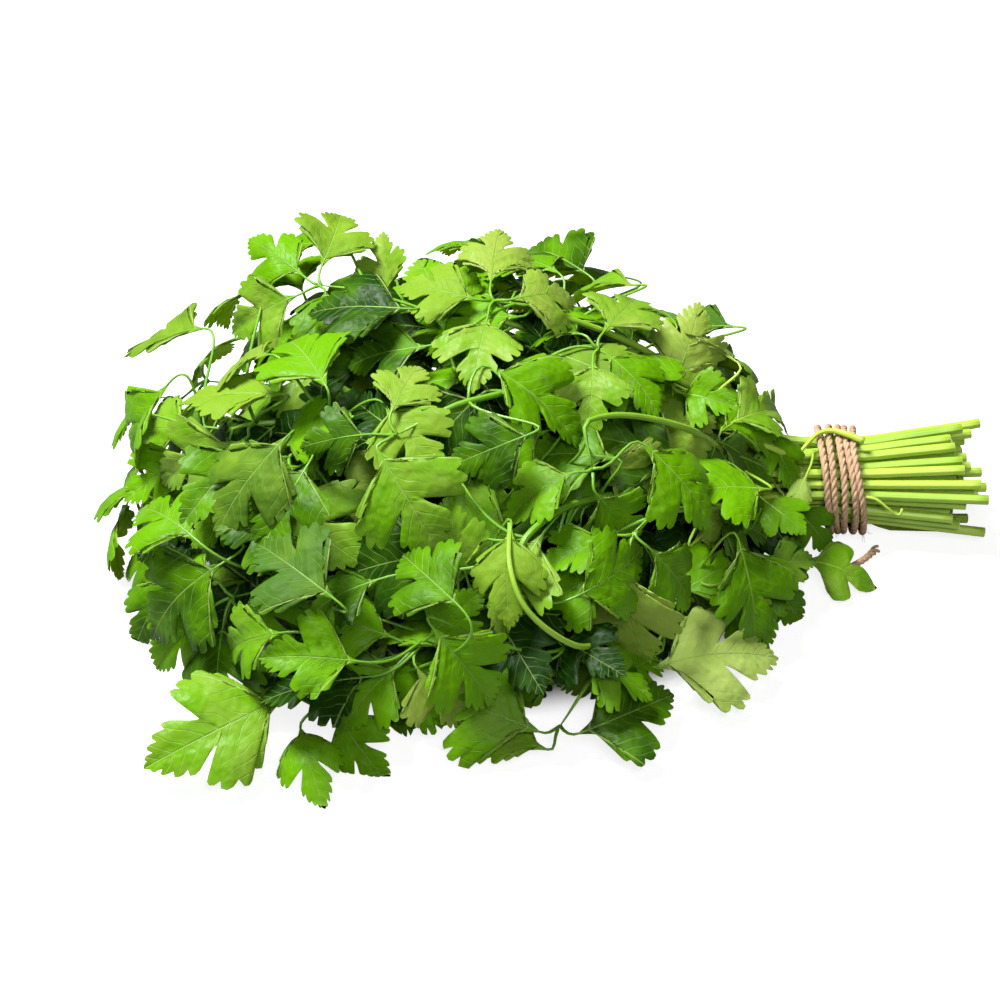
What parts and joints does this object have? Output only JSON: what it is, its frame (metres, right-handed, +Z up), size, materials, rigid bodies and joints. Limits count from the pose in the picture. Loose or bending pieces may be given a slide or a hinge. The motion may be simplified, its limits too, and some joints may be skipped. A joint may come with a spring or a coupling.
{
  "type": "flat-leaf parsley bunch",
  "caption": "Tied bunch of flat-leaf parsley lying on its side: lobed toothed leaflets fan out at one end, cut stalks end bluntly at the other, held by a wound twine tie.",
  "frame": {"origin": "middle of the bounding box on the floor, the loose end of the twine left out", "axes": "+X along the stalks towards the cut ends, +Z up from the surface that the bunch lies on, -Y towards the pictured side"},
  "size_m": [0.3066, 0.2332, 0.1093],
  "materials": {
    "leafy_green": "satin leaf",
    "jute_twine": "coarse fibre"
  },
  "bodies": {
    "root": {"leafy_stem_01": "leafy_green", "leafy_stem_02": "leafy_green", "leafy_stem_03": "leafy_green", "leafy_stem_04": "leafy_green", "leafy_stem_05": "leafy_green", "leafy_stem_06": "leafy_green", "leafy_stem_07": "leafy_green", "leafy_stem_08": "leafy_green", "leafy_stem_09": "leafy_green", "leafy_stem_10": "leafy_green", "leafy_stem_11": "leafy_green", "leafy_stem_12": "leafy_green", "leafy_stem_13": "leafy_green", "leafy_stem_14": "leafy_green", "leafy_stem_15": "leafy_green", "leafy_stem_16": "leafy_green", "leafy_stem_17": "leafy_green", "leafy_stem_18": "leafy_green", "leafy_stem_19": "leafy_green", "leafy_stem_20": "leafy_green", "leafy_stem_21": "leafy_green", "leafy_stem_22": "leafy_green", "leafy_stem_23": "leafy_green", "leafy_stem_24": "leafy_green", "leafy_stem_25": "leafy_green", "leafy_stem_26": "leafy_green", "leafy_stem_27": "leafy_green", "leafy_stem_28": "leafy_green", "leafy_stem_29": "leafy_green", "leafy_stem_30": "leafy_green", "leafy_stem_31": "leafy_green", "leafy_stem_32": "leafy_green", "leafy_stem_33": "leafy_green", "leafy_stem_34": "leafy_green", "leafy_stem_35": "leafy_green", "leafy_stem_36": "leafy_green", "leafy_stem_37": "leafy_green", "leafy_stem_38": "leafy_green", "leafy_stem_39": "leafy_green", "leafy_stem_40": "leafy_green", "leafy_stem_41": "leafy_green", "leafy_stem_42": "leafy_green", "leafy_stem_43": "leafy_green", "leafy_stem_44": "leafy_green", "leafy_stem_45": "leafy_green", "leafy_stem_46": "leafy_green", "leafy_stem_47": "leafy_green", "leafy_stem_48": "leafy_green", "leafy_stem_49": "leafy_green", "leafy_stem_50": "leafy_green", "leafy_stem_51": "leafy_green", "leafy_stem_52": "leafy_green", "leafy_stem_53": "leafy_green", "leafy_stem_54": "leafy_green", "leafy_stem_55": "leafy_green", "twine_tail": "jute_twine", "twine_wrap": "jute_twine"}
  },
  "joints": []
}
